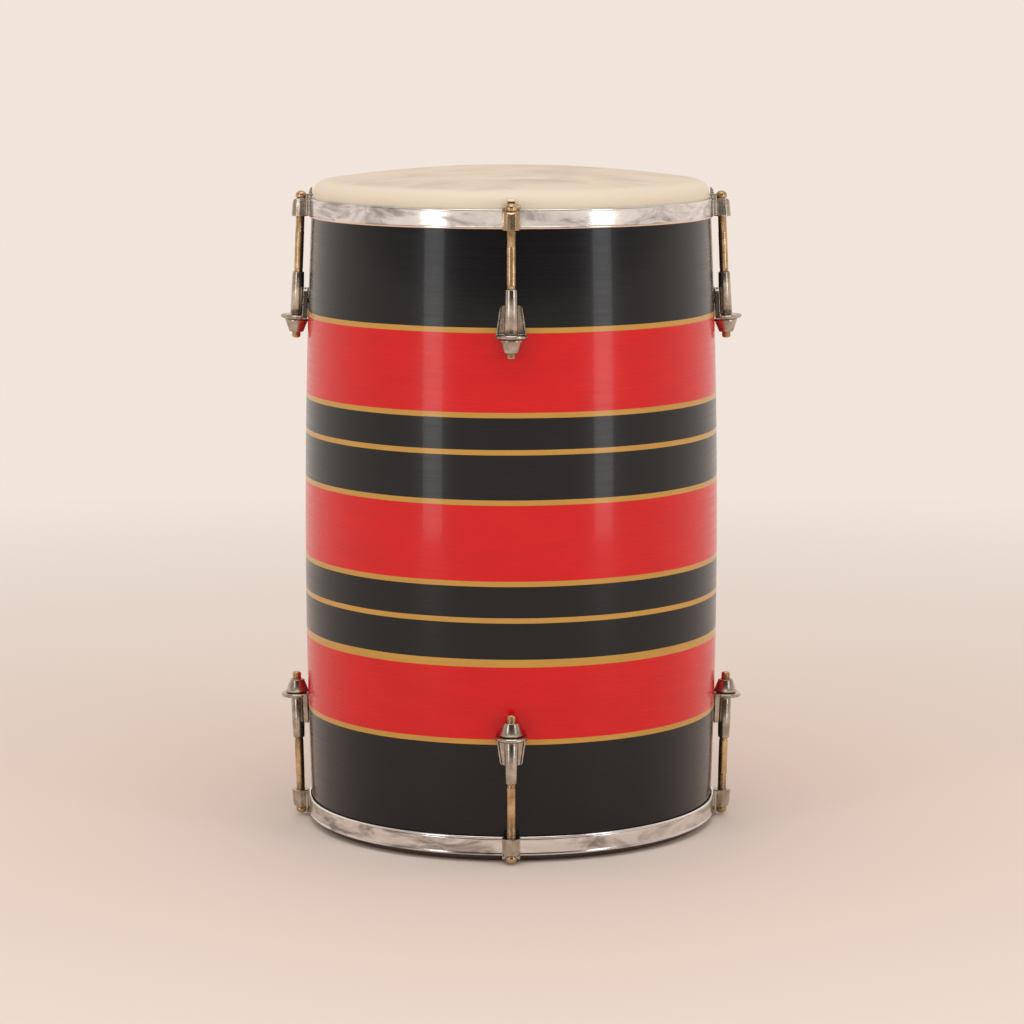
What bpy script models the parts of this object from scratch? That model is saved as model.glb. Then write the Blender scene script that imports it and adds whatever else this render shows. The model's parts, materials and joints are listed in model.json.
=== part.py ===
"""A metal-tuned dholak: a carved barrel shell with a skin on each end, each drawn tight by four lugs.

Metres, +Z up. The drum stands on the flat face of its lower skin, at z = 0, with its axis on Z.
Each head is one moving group (hoop, flesh ring, claws and rods) that slides along Z, and each
tuning nut turns about its own rod, which leans a little towards the drum as it rises to the hoop.
"""

import math
from dataclasses import dataclass

import bmesh
import bpy
from mathutils import Matrix

# Whole drum
HEIGHT = 0.4367
CROWN = 0.0090
LUGS_PER_HEAD = 4
RING_SIDES = 48
GAP = 0.0003

# Shell: a barrel whose outside is one parabola, widest at the belly
BELLY_RADIUS = 0.1400
BELLY_HEIGHT = 0.1813
NECK_RADIUS = 0.1344
WALL = 0.0140
EDGE_CHAMFER = 0.0030
BARREL_POINTS = 7
BORE_POINTS = 4

# Skins
SKIN_THICKNESS = 0.0012
SHOULDER_WIDTH = 0.0090
SHOULDER_STEPS = 4

# Flesh rings, which the skins are lapped round
FLESH_THICKNESS = 0.0012
FLESH_HEIGHT = 0.0050

# Hoops: a flat band with a bead at each edge, the outer bead rolled in over the flesh ring
HOOP_HEIGHT = 0.0127
HOOP_THICKNESS = 0.0012
BEAD_HEIGHT = 0.0021
BEAD_PROUD = 0.0003
BEAD_CLEARANCE = 0.0004
REBATE = 0.0022

# Tension rods
ROD_RADIUS = 0.0030
ROD_LENGTH = 0.0995
ROD_SIDES = 10
ROD_CLEARANCE = 0.0004
HEAD_RADIUS = 0.0037
HEAD_HEIGHT = 0.0047
ROD_TIP = 0.0014

# Claws, which hook over the hoop
CLAW_HEIGHT = 0.0120
CLAW_REACH = 0.0057
CLAW_BASE_RADIUS = 0.0060
CLAW_TOP_RADIUS = 0.0053
CLAW_ROUNDING = 0.0042
CLAW_SIDES = 12
LEAF_WIDTH = 0.0118
LEAF_THICKNESS = 0.0017
FINGER_THICKNESS = 0.0018
FINGER_CLEARANCE = 0.0006
HORN_WIDTH = 0.0050
HORN_ROOT = 0.0026

# Brackets: a flanged plate on the wall, bent out into a round ledge
LEDGE_REACH = 0.0077
LEDGE_RADIUS = 0.0110
LEDGE_THICKNESS = 0.0026
LEDGE_ROUNDING = 0.0009
LEDGE_SIDES = 20
PLATE_THICKNESS = 0.0015
PLATE_HEIGHT = 0.0210
PLATE_FOOT_WIDTH = 0.0200
PLATE_TIP_WIDTH = 0.0142
PLATE_CORNER = 0.0022
FLANGE_HEIGHT = 0.0032
FLANGE_THICKNESS = 0.0011

# Sleeves, which stand on the ledges round the rods
SLEEVE_LENGTH = 0.0285
SLEEVE_FOOT_RADIUS = 0.0045
SLEEVE_TIP_RADIUS = 0.0039
SLEEVE_RIM = 0.0003

# Tuning nuts
NUT_HEIGHT = 0.0088
NUT_FOOT_RADIUS = 0.0077
NUT_TIP_RADIUS = 0.0050
NUT_RIM = 0.0007
NUT_SIDES = 14

# Countersunk screws that hold the brackets to the wall
SCREW_HEIGHT = 0.0120
SCREW_RADIUS = 0.0015
SCREW_HEAD_RADIUS = 0.0030
SCREW_LENGTH = 0.0120
SCREW_POINT = 0.0025
SCREW_SIDES = 8

# How far a cutter runs past the face that it opens
OVERCUT = 0.0010


@dataclass(frozen=True)
class End:
    """One end of the drum. Depths are measured from the skin's flat face towards the belly."""

    name: str
    up: int
    face: float
    crown: float
    hoop_depth: float
    hoop_radius: float
    shoulder_depth: float
    ledge_depth: float
    claw_overhang: float
    horn_height: float

    def z(self, depth):
        return self.face - self.up * depth


TOP = End(
    name="top",
    up=1,
    face=HEIGHT,
    crown=CROWN,
    hoop_depth=0.0116,
    hoop_radius=0.1360,
    shoulder_depth=0.0084,
    ledge_depth=0.0934,
    claw_overhang=0.0001,
    horn_height=0.0045,
)
BOTTOM = End(
    name="bottom",
    up=-1,
    face=0.0,
    crown=0.0,
    hoop_depth=0.0046,
    hoop_radius=0.1392,
    shoulder_depth=0.0040,
    ledge_depth=0.0860,
    claw_overhang=0.0007,
    horn_height=0.0,
)
ENDS = (TOP, BOTTOM)


# Sizes that follow from the ones above

def hoop_foot_depth(end):
    return end.hoop_depth + HOOP_HEIGHT


def rebate_depth(end):
    return hoop_foot_depth(end) - REBATE


def band_inside(end):
    return end.hoop_radius - HOOP_THICKNESS


def flesh_outside(end):
    return band_inside(end) - GAP


def flesh_inside(end):
    return flesh_outside(end) - FLESH_THICKNESS


def skin_outside(end):
    return flesh_inside(end) - GAP


def skin_inside(end):
    return skin_outside(end) - SKIN_THICKNESS


def spigot_radius(end):
    return skin_inside(end) - GAP


def shoulder_centre(end):
    return skin_outside(end) - SHOULDER_WIDTH


def wall_radius(z):
    """Outside radius of the shell at a height: a parabola through the belly and the neck."""
    neck_height = TOP.z(hoop_foot_depth(TOP))
    share = (z - BELLY_HEIGHT) / (neck_height - BELLY_HEIGHT)
    return BELLY_RADIUS - (BELLY_RADIUS - NECK_RADIUS) * share ** 2


def claw_foot(end):
    """Depth of the claw's flat underside."""
    return hoop_foot_depth(end) + end.claw_overhang


def claw_radius(end):
    return end.hoop_radius + CLAW_REACH


def ledge_radius(end):
    return wall_radius(end.z(end.ledge_depth)) + LEDGE_REACH


def claw_rise(end):
    """How far the claw's underside stands beyond the ledge's nut side, towards the head."""
    return end.ledge_depth - claw_foot(end)


def rod_lean(end):
    """Angle between the rod and the drum's axis, in radians."""
    middle = claw_rise(end) + CLAW_HEIGHT / 2
    return math.atan2(ledge_radius(end) - claw_radius(end), middle)


def rod_top(end):
    """Where the rod's head ends, along the rod from the ledge's nut side."""
    return (claw_rise(end) + CLAW_HEIGHT) / math.cos(rod_lean(end)) + GAP + HEAD_HEIGHT


def plate_back(end):
    """Inner face of the bracket's plate, measured from the rod's axis in the lug's own frame."""
    lean = rod_lean(end)
    nearest = -1.0
    for along in (0.0, PLATE_HEIGHT):
        depth = end.ledge_depth - along * math.cos(lean)
        axis = ledge_radius(end) - along * math.sin(lean)
        nearest = max(nearest, (wall_radius(end.z(depth)) - axis) * math.cos(lean))
    return nearest + GAP


# Modelling helpers

def clear_scene():
    for obj in list(bpy.data.objects):
        bpy.data.objects.remove(obj, do_unlink=True)


def collection(name):
    made = bpy.data.collections.new(name)
    bpy.context.scene.collection.children.link(made)
    return made


def principled(name, colour, roughness, metallic):
    material = bpy.data.materials.new(name)
    material.use_nodes = True
    shader = material.node_tree.nodes["Principled BSDF"]
    shader.inputs["Base Color"].default_value = (*colour, 1.0)
    shader.inputs["Roughness"].default_value = roughness
    shader.inputs["Metallic"].default_value = metallic
    return material


def as_cutter(obj):
    obj.hide_render = True
    obj.display_type = "WIRE"
    return obj


def new_object(name, mesh, group):
    obj = bpy.data.objects.new(name, mesh)
    group.objects.link(obj)
    return obj


def ordered(outline):
    """The outline with its outer side running down, which a Screw turns into faces that point out."""
    following = outline[1:] + outline[:1]
    doubled = sum(a[0] * b[1] - b[0] * a[1] for a, b in zip(outline, following))
    return outline[::-1] if doubled > 0 else outline


def turned(name, outline, sides, closed=True):
    """A piece turned on a lathe: an outline of (radius, height) points swept round Z."""
    points = ordered(outline)
    edges = [(i, i + 1) for i in range(len(points) - 1)]
    if closed:
        edges.append((len(points) - 1, 0))
    mesh = bpy.data.meshes.new(name)
    mesh.from_pydata([(radius, 0.0, height) for radius, height in points], edges, [])
    obj = new_object(name, mesh, WORKSHOP)
    screw = obj.modifiers.new("Turn", "SCREW")
    screw.axis = "Z"
    screw.steps = sides
    screw.render_steps = sides
    screw.use_merge_vertices = True
    screw.merge_threshold = 0.00001
    return obj


def rod(name, radius, low, high, sides):
    """A plain cylinder about Z between two heights."""
    outline = [(0.0, high), (radius, high), (radius, low), (0.0, low)]
    return turned(name, outline, sides, closed=False)


def slab(name, outline, width):
    """A flat (x, z) outline extruded to a width along Y, as a filled 2D curve made a mesh."""
    curve = bpy.data.curves.new(name, "CURVE")
    curve.dimensions = "2D"
    curve.fill_mode = "BOTH"
    curve.extrude = width / 2
    spline = curve.splines.new("POLY")
    spline.points.add(len(outline) - 1)
    for point, (x, z) in zip(spline.points, outline):
        point.co = (x, z, 0.0, 1.0)
    spline.use_cyclic_u = True
    drawn = new_object(name, curve, WORKSHOP)
    mesh = bpy.data.meshes.new_from_object(drawn.evaluated_get(bpy.context.evaluated_depsgraph_get()))
    bpy.data.objects.remove(drawn, do_unlink=True)
    mesh.transform(Matrix.Rotation(math.pi / 2, 4, "X"))
    tidy_mesh(mesh)
    return new_object(name, mesh, WORKSHOP)


def tidy_mesh(mesh):
    """Welds a curve's loose caps to its sides and points the faces outwards."""
    form = bmesh.new()
    form.from_mesh(mesh)
    bmesh.ops.remove_doubles(form, verts=form.verts, dist=0.000001)
    bmesh.ops.recalc_face_normals(form, faces=form.faces)
    form.to_mesh(mesh)
    form.free()


def tapered_block(name, x_range, z_range, foot_width, tip_width):
    """A box between two planes of X, whose width along Y runs from its foot to its tip."""
    form = bmesh.new()
    bmesh.ops.create_cube(form, size=2.0)
    for vertex in form.verts:
        at_tip = vertex.co.z > 0
        half = (tip_width if at_tip else foot_width) / 2
        vertex.co.x = x_range[1] if vertex.co.x > 0 else x_range[0]
        vertex.co.y *= half
        vertex.co.z = z_range[1] if at_tip else z_range[0]
    mesh = bpy.data.meshes.new(name)
    form.to_mesh(mesh)
    form.free()
    return new_object(name, mesh, WORKSHOP)


def boolean(target, cutter, operation):
    step = target.modifiers.new(operation.title(), "BOOLEAN")
    step.operation = operation
    step.solver = "EXACT"
    step.object = as_cutter(cutter)
    return target


def finished_mesh(obj, name, sharp_degrees=32):
    """The object's mesh with its modifiers applied and its place kept, shaded round where it is round."""
    bpy.context.view_layer.update()
    mesh = bpy.data.meshes.new_from_object(obj.evaluated_get(bpy.context.evaluated_depsgraph_get()))
    mesh.transform(obj.matrix_world)
    mesh.name = name
    mesh.shade_smooth()
    mesh.set_sharp_from_angle(angle=math.radians(sharp_degrees))
    return mesh


def place(name, mesh, material, parent=None):
    """A sub-part of the drum: its own object, with its own material."""
    obj = new_object(name, mesh, DRUM)
    if not mesh.materials:
        mesh.materials.append(None)
    obj.material_slots[0].link = "OBJECT"
    obj.material_slots[0].material = material
    obj.parent = parent
    return obj


def empty(name, matrix, parent=None):
    obj = bpy.data.objects.new(name, None)
    DRUM.objects.link(obj)
    obj.empty_display_size = 0.01
    obj.parent = parent
    obj.matrix_local = matrix
    return obj


def quarter(centre, radii, start, stop, steps):
    """Points on part of an ellipse, between two angles in degrees."""
    points = []
    for step in range(steps + 1):
        angle = math.radians(start + (stop - start) * step / steps)
        points.append((centre[0] + radii[0] * math.cos(angle), centre[1] + radii[1] * math.sin(angle)))
    return points


# Frames

def lug_matrix(end, turn):
    """The lug's upright frame: X out from the drum's axis, Z towards the head, z = 0 at the ledge."""
    flip = Matrix.Identity(4) if end.up > 0 else Matrix.Rotation(math.pi, 4, "X")
    height = Matrix.Translation((0.0, 0.0, end.z(end.ledge_depth)))
    return height @ Matrix.Rotation(turn, 4, "Z") @ flip


def rod_matrix(end):
    """The rod's frame inside the lug's: its Z is the rod's axis, and z = 0 on the ledge's nut side."""
    lean = Matrix.Rotation(-rod_lean(end), 4, "Y")
    return Matrix.Translation((ledge_radius(end), 0.0, 0.0)) @ lean


def lug_turns():
    """Angles of the lugs round the drum, the first at the front, which is -Y."""
    return [-math.pi / 2 + 2 * math.pi * i / LUGS_PER_HEAD for i in range(LUGS_PER_HEAD)]


# Shell and heads

def bearing_edge(end):
    """The wall's end outside the bore: rebate, spigot and rounded bearing edge, as (radius, height)."""
    centre = (shoulder_centre(end), end.shoulder_depth)
    reach = SHOULDER_WIDTH - SKIN_THICKNESS - GAP
    crest = SKIN_THICKNESS + GAP
    radii = (reach, end.shoulder_depth - crest)
    points = [(wall_radius(end.z(rebate_depth(end))), rebate_depth(end))]
    points.append((spigot_radius(end), rebate_depth(end)))
    for radius, depth in quarter(centre, (radii[0], -radii[1]), 0, 90, SHOULDER_STEPS - 1):
        points.append((radius, depth))
    end_of_bore = wall_radius(end.z(rebate_depth(end))) - WALL
    points.append((end_of_bore, crest + EDGE_CHAMFER))
    return [(radius, end.z(depth)) for radius, depth in points]


def shell_mesh():
    top_edge = bearing_edge(TOP)
    bottom_edge = bearing_edge(BOTTOM)
    high = top_edge[0][1]
    low = bottom_edge[0][1]
    outside = []
    for step in range(1, BARREL_POINTS):
        z = high + (low - high) * step / BARREL_POINTS
        outside.append((wall_radius(z), z))
    inside = []
    for step in range(1, BORE_POINTS):
        z = low + (high - low) * step / BORE_POINTS
        inside.append((wall_radius(z) - WALL, z))
    outline = top_edge[::-1] + outside + bottom_edge + inside
    shell = turned("shell_blank", outline, RING_SIDES)
    for end in ENDS:
        for turn in lug_turns():
            hole = screw_form("screw_hole", end, GAP)
            hole.matrix_world = lug_matrix(end, turn) @ rod_matrix(end) @ hole.matrix_world
            boolean(shell, hole, "DIFFERENCE")
    return finished_mesh(shell, "shell")


def skin_mesh(end):
    """A stretched skin: flat, turned down over the bearing edge into a collar inside the flesh ring."""
    centre = (shoulder_centre(end), end.shoulder_depth)
    outer = (SHOULDER_WIDTH, -end.shoulder_depth)
    inner = (SHOULDER_WIDTH - SKIN_THICKNESS, SKIN_THICKNESS - end.shoulder_depth)
    collar = rebate_depth(end) - GAP
    points = [(0.0, -end.crown), (centre[0] * 0.55, -end.crown * 0.7)]
    points += quarter(centre, outer, 90, 0, SHOULDER_STEPS)
    points += [(skin_outside(end), collar), (skin_inside(end), collar)]
    points += quarter(centre, inner, 0, 90, SHOULDER_STEPS - 1)
    points += [(centre[0] * 0.55, SKIN_THICKNESS - end.crown * 0.7), (0.0, SKIN_THICKNESS - end.crown)]
    outline = [(radius, end.z(depth)) for radius, depth in points]
    return finished_mesh(turned("skin_blank", outline, RING_SIDES, closed=False), end.name + "_skin")


def flesh_ring_mesh(end):
    top = end.hoop_depth + BEAD_HEIGHT + GAP
    foot = top + FLESH_HEIGHT
    points = [(flesh_inside(end), top), (flesh_outside(end), top)]
    points += [(flesh_outside(end), foot), (flesh_inside(end), foot)]
    outline = [(radius, end.z(depth)) for radius, depth in points]
    return finished_mesh(turned("flesh_blank", outline, RING_SIDES), end.name + "_flesh_ring")


def hoop_mesh(end):
    """A flat band, its head-side edge rolled in and both edges beaded."""
    rim = end.hoop_radius
    band = rim - BEAD_PROUD
    lip = skin_outside(end) + BEAD_CLEARANCE
    edge = end.hoop_depth
    foot = hoop_foot_depth(end)
    half = BEAD_HEIGHT / 2
    points = quarter((lip + half, edge + half), (-half, -half), 0, 90, 2)
    points += quarter((rim - half, edge + half), (half, -half), 90, 0, 2)
    points += [(band, edge + BEAD_HEIGHT), (band, foot - BEAD_HEIGHT)]
    points += [(rim, foot - half), (rim, foot - half / 2), (band, foot)]
    points += [(band_inside(end), foot), (band_inside(end), edge + BEAD_HEIGHT)]
    points += [(lip, edge + BEAD_HEIGHT)]
    outline = [(radius, end.z(depth)) for radius, depth in points]
    return finished_mesh(turned("hoop_blank", outline, RING_SIDES), end.name + "_hoop")


# Lug pieces, in the rod's frame unless said otherwise

def rod_mesh(end):
    """A threaded rod with a domed head over the claw and a rounded tip below the nut."""
    top = rod_top(end)
    seat = top - HEAD_HEIGHT
    tip = top - ROD_LENGTH
    dome = HEAD_HEIGHT * 0.6
    points = quarter((0.0, top - dome), (HEAD_RADIUS, dome), 90, 0, 3)
    points += [(HEAD_RADIUS, seat), (ROD_RADIUS, seat), (ROD_RADIUS, tip + ROD_TIP)]
    points += [(ROD_RADIUS * 0.62, tip + ROD_TIP * 0.2), (0.0, tip)]
    return finished_mesh(turned("rod_blank", points, ROD_SIDES, closed=False), end.name + "_tension_rod")


def sleeve_mesh():
    """A tapered tube that stands on the ledge round the rod."""
    foot = LEDGE_THICKNESS + GAP
    tip = foot + SLEEVE_LENGTH
    bore = ROD_RADIUS + ROD_CLEARANCE
    points = [(bore, tip), (SLEEVE_TIP_RADIUS - SLEEVE_RIM, tip), (SLEEVE_TIP_RADIUS, tip - SLEEVE_RIM)]
    points += [(SLEEVE_FOOT_RADIUS, foot), (bore, foot)]
    return finished_mesh(turned("sleeve_blank", points, ROD_SIDES), "sleeve")


def nut_mesh():
    """A conical nut that bears on the ledge and is turned to draw the rod through it."""
    foot = -GAP
    tip = foot - NUT_HEIGHT
    bore = ROD_RADIUS + ROD_CLEARANCE
    points = [(bore, foot), (NUT_FOOT_RADIUS - NUT_RIM, foot), (NUT_FOOT_RADIUS, foot - NUT_RIM)]
    points += [(NUT_FOOT_RADIUS, foot - 2 * NUT_RIM), (NUT_TIP_RADIUS, tip + NUT_RIM)]
    points += [(NUT_TIP_RADIUS - NUT_RIM, tip), (bore, tip)]
    return finished_mesh(turned("nut_blank", points, NUT_SIDES), "tuning_nut")


def screw_form(name, end, grown):
    """A countersunk screw lying along X through the plate, larger all round by a clearance."""
    flush = plate_back(end) + PLATE_THICKNESS
    head = SCREW_HEAD_RADIUS + grown
    shank = SCREW_RADIUS + grown
    top = OVERCUT if grown else 0.0
    cone = -(SCREW_HEAD_RADIUS - SCREW_RADIUS)
    low = -SCREW_LENGTH - grown
    outline = [(0.0, top), (head, top), (head, 0.0)] if grown else [(0.0, 0.0), (head, 0.0)]
    outline += [(shank, cone), (shank, low + SCREW_POINT), (0.0, low)]
    obj = turned(name, outline, SCREW_SIDES, closed=False)
    lie_down = Matrix.Rotation(math.pi / 2, 4, "Y")
    obj.matrix_world = Matrix.Translation((flush, 0.0, SCREW_HEIGHT)) @ lie_down
    return obj


def bracket_mesh(end):
    back = plate_back(end)
    face = back + PLATE_THICKNESS
    foot = LEDGE_THICKNESS * 0.15
    floor = LEDGE_THICKNESS * 0.5
    outer = tapered_block(
        "plate", (back, back + FLANGE_HEIGHT), (foot, PLATE_HEIGHT), PLATE_FOOT_WIDTH, PLATE_TIP_WIDTH
    )
    round_tip_corners(outer.data)
    slope = (PLATE_FOOT_WIDTH - PLATE_TIP_WIDTH) / (PLATE_HEIGHT - foot)
    low_width = PLATE_FOOT_WIDTH - slope * (floor - foot) - 2 * FLANGE_THICKNESS
    high_width = PLATE_TIP_WIDTH - slope * OVERCUT - 2 * FLANGE_THICKNESS
    pocket = tapered_block(
        "pocket",
        (face, back + FLANGE_HEIGHT + OVERCUT),
        (floor, PLATE_HEIGHT + OVERCUT),
        low_width,
        high_width,
    )
    ledge_outline = [(0.0, LEDGE_THICKNESS), (LEDGE_RADIUS - LEDGE_ROUNDING, LEDGE_THICKNESS)]
    ledge_outline += [(LEDGE_RADIUS, LEDGE_THICKNESS - LEDGE_ROUNDING), (LEDGE_RADIUS, LEDGE_ROUNDING)]
    ledge_outline += [(LEDGE_RADIUS - LEDGE_ROUNDING, 0.0), (0.0, 0.0)]
    ledge = turned("ledge", ledge_outline, LEDGE_SIDES, closed=False)
    behind = tapered_block(
        "behind",
        (-2 * LEDGE_RADIUS, back + PLATE_THICKNESS / 2),
        (-OVERCUT, LEDGE_THICKNESS + OVERCUT),
        3 * LEDGE_RADIUS,
        3 * LEDGE_RADIUS,
    )
    boolean(ledge, behind, "DIFFERENCE")
    bore = ROD_RADIUS + ROD_CLEARANCE
    boolean(outer, pocket, "DIFFERENCE")
    boolean(outer, ledge, "UNION")
    boolean(outer, rod("bore", bore, -OVERCUT, LEDGE_THICKNESS + OVERCUT, ROD_SIDES), "DIFFERENCE")
    boolean(outer, screw_form("countersink", end, GAP), "DIFFERENCE")
    return finished_mesh(outer, end.name + "_bracket")


def round_tip_corners(mesh):
    """Rounds the two corners of the plate's narrow end."""
    form = bmesh.new()
    form.from_mesh(mesh)
    corners = []
    for edge in form.edges:
        ends = [vertex.co for vertex in edge.verts]
        along_x = abs(ends[0].x - ends[1].x) > PLATE_CORNER / 2
        if along_x and min(ends[0].z, ends[1].z) > PLATE_HEIGHT / 2:
            corners.append(edge)
    bmesh.ops.bevel(form, geom=corners, offset=PLATE_CORNER, segments=2, profile=0.5, affect="EDGES")
    form.to_mesh(mesh)
    form.free()


def claw_mesh(end):
    """A claw, in the lug's upright frame: a bucket round the rod, a leaf on the hoop and a finger over it."""
    foot = claw_rise(end)
    high = foot + CLAW_HEIGHT
    along = rod_matrix(end)
    slack = CLAW_HEIGHT / 4
    rise = foot / math.cos(rod_lean(end))
    slope = (CLAW_BASE_RADIUS - CLAW_TOP_RADIUS) / CLAW_HEIGHT
    wide = CLAW_BASE_RADIUS + slope * slack
    narrow = CLAW_TOP_RADIUS - slope * slack
    bucket_outline = [(0.0, rise + CLAW_HEIGHT + slack), (narrow, rise + CLAW_HEIGHT + slack)]
    bucket_outline += [(wide, rise - slack), (0.0, rise - slack)]
    bucket = turned("bucket", bucket_outline, CLAW_SIDES, closed=False)
    bucket.matrix_world = along

    leaf_back = end.hoop_radius + GAP
    middle = claw_radius(end)
    outermost = middle + CLAW_BASE_RADIUS + OVERCUT
    shape = [(leaf_back, foot), (outermost, foot)]
    shape += quarter(
        (middle + CLAW_BASE_RADIUS - CLAW_ROUNDING, high - CLAW_ROUNDING),
        (CLAW_ROUNDING, CLAW_ROUNDING),
        0,
        90,
        3,
    )
    shape += [(leaf_back, high)]
    side = slab("side", shape, 4 * CLAW_BASE_RADIUS)
    boolean(bucket, side, "INTERSECT")

    under = foot + end.claw_overhang + HOOP_HEIGHT + GAP
    over = under + FINGER_THICKNESS
    leaf_face = leaf_back + LEAF_THICKNESS
    tip = skin_outside(end) + FINGER_CLEARANCE
    chamfer = FINGER_THICKNESS / 3
    hook = [(leaf_back, foot + chamfer), (leaf_face, foot + chamfer), (leaf_face, over - chamfer)]
    hook += [(leaf_face - chamfer, over), (tip, over), (tip, under), (leaf_back, under)]
    boolean(bucket, slab("hook", hook, LEAF_WIDTH), "UNION")
    if end.horn_height > 0:
        root = over - FINGER_THICKNESS / 2
        peak = over + end.horn_height
        horn = quarter((tip + HORN_ROOT * 0.1, root), (HORN_ROOT * 0.9, peak - root), 0, 80, 4)
        horn += [(tip + HORN_ROOT * 0.1, peak), (tip + HORN_ROOT * 0.1, root)]
        boolean(bucket, slab("horn", horn, HORN_WIDTH), "UNION")

    bore = rod("bore", ROD_RADIUS + GAP, rise - slack, rise + CLAW_HEIGHT + 2 * slack, ROD_SIDES)
    bore.matrix_world = along
    boolean(bucket, bore, "DIFFERENCE")
    seat = rod_top(end) - HEAD_HEIGHT
    room = rod("head_room", HEAD_RADIUS + GAP, seat, seat + 2 * HEAD_HEIGHT, ROD_SIDES)
    room.matrix_world = along
    boolean(bucket, room, "DIFFERENCE")
    return finished_mesh(bucket, end.name + "_claw")


def build_head(end, axis, materials):
    """The skin, which stays on the shell, and the ring and hoop that slide with the head."""
    place(end.name + "_skin", skin_mesh(end), materials["skin_" + end.name])
    place(end.name + "_flesh_ring", flesh_ring_mesh(end), materials["flesh_ring"], axis)
    place(end.name + "_hoop", hoop_mesh(end), materials["hoop"], axis)


def build_lugs(end, axis, materials):
    shapes = {
        "claw": claw_mesh(end),
        "tension_rod": rod_mesh(end),
        "bracket": bracket_mesh(end),
        "sleeve": sleeve_mesh(),
        "tuning_nut": nut_mesh(),
        "bracket_screw": finished_mesh(screw_form("screw", end, 0.0), end.name + "_screw"),
    }
    for number, turn in enumerate(lug_turns(), start=1):
        tag = f"{end.name}_{number}"
        fixed = empty("lug_" + tag, lug_matrix(end, turn))
        moving = empty("draw_" + tag, lug_matrix(end, turn), axis)
        fixed_rod_line = empty("nut_axis_" + tag, rod_matrix(end), fixed)
        moving_rod_line = empty("rod_axis_" + tag, rod_matrix(end), moving)
        homes = {
            "claw": moving,
            "tension_rod": moving_rod_line,
            "bracket": fixed_rod_line,
            "sleeve": fixed_rod_line,
            "tuning_nut": fixed_rod_line,
            "bracket_screw": fixed_rod_line,
        }
        for kind, mesh in shapes.items():
            place(f"{end.name}_{kind}_{number}", mesh, materials[kind], homes[kind])


def build_materials():
    return {
        "shell": principled("lacquered_wood", (0.010, 0.010, 0.012), 0.18, 0.0),
        "skin_top": principled("upper_skin", (0.86, 0.78, 0.64), 0.55, 0.0),
        "skin_bottom": principled("lower_skin", (0.80, 0.70, 0.54), 0.60, 0.0),
        "flesh_ring": principled("flesh_ring_steel", (0.42, 0.40, 0.38), 0.40, 1.0),
        "hoop": principled("hoop_chrome", (0.78, 0.75, 0.72), 0.14, 1.0),
        "claw": principled("claw_nickel", (0.62, 0.52, 0.40), 0.24, 1.0),
        "tension_rod": principled("rod_brass", (0.66, 0.47, 0.26), 0.26, 1.0),
        "bracket": principled("bracket_nickel", (0.60, 0.54, 0.47), 0.28, 1.0),
        "sleeve": principled("sleeve_nickel", (0.66, 0.60, 0.54), 0.22, 1.0),
        "tuning_nut": principled("nut_nickel", (0.62, 0.55, 0.46), 0.24, 1.0),
        "bracket_screw": principled("screw_steel", (0.50, 0.48, 0.46), 0.35, 1.0),
    }


clear_scene()
DRUM = collection("dholak")
WORKSHOP = collection("blanks_and_cutters")


def build():
    materials = build_materials()
    place("shell", shell_mesh(), materials["shell"])
    for end in ENDS:
        axis = empty(end.name + "_head_slide", Matrix.Identity(4))
        build_head(end, axis, materials)
        build_lugs(end, axis, materials)
    for obj in list(WORKSHOP.objects):
        as_cutter(obj)


build()
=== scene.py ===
# %% [markdown]
# # A dholak, dressed
#
# This lesson takes a finished drum model, already at its real size, and gives it its surfaces:
# banded lacquer, stretched hide, plated hoops and worn brass rods. Each cell makes one kind of
# piece. Lengths are in metres and Z points up along the drum's axis.

# %% Load the frame
import json
import math

import bmesh
import bpy
import numpy as np
from mathutils import Matrix, Vector


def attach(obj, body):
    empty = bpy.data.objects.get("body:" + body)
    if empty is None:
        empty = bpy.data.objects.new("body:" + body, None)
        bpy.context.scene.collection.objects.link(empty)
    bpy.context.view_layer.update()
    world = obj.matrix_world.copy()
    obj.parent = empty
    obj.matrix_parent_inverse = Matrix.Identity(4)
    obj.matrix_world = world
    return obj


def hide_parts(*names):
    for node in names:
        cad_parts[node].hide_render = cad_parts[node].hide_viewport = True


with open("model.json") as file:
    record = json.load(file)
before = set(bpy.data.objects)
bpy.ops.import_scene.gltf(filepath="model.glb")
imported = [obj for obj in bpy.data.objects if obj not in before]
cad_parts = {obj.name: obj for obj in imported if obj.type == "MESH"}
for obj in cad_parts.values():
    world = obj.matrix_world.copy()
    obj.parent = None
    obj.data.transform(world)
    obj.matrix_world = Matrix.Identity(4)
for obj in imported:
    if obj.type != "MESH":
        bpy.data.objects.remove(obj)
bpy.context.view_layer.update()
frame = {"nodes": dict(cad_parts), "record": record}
joints = {joint["name"]: joint for joint in frame["record"]["behaviour"]["joints"]}
print("pieces in the frame:", len(frame["nodes"]))

# %% [markdown]
# ## The drum's own sizes
#
# The same driving sizes shape the solids and the fine surfaces, so nothing has to be fitted
# afterwards. The barrel's outside is one parabola, widest at the belly.

# %% Sizes
HEIGHT = 0.4367
CROWN = 0.0090
GAP = 0.0003
BELLY_RADIUS = 0.1400
BELLY_HEIGHT = 0.1813
NECK_RADIUS = 0.1344
WALL = 0.0140
SKIN_THICKNESS = 0.0012
SHOULDER_WIDTH = 0.0090
FLESH_THICKNESS = 0.0012
FLESH_HEIGHT = 0.0050
HOOP_HEIGHT = 0.0127
HOOP_THICKNESS = 0.0012
BEAD_HEIGHT = 0.0021
BEAD_PROUD = 0.0003
BEAD_CLEARANCE = 0.0004
REBATE = 0.0022

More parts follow.
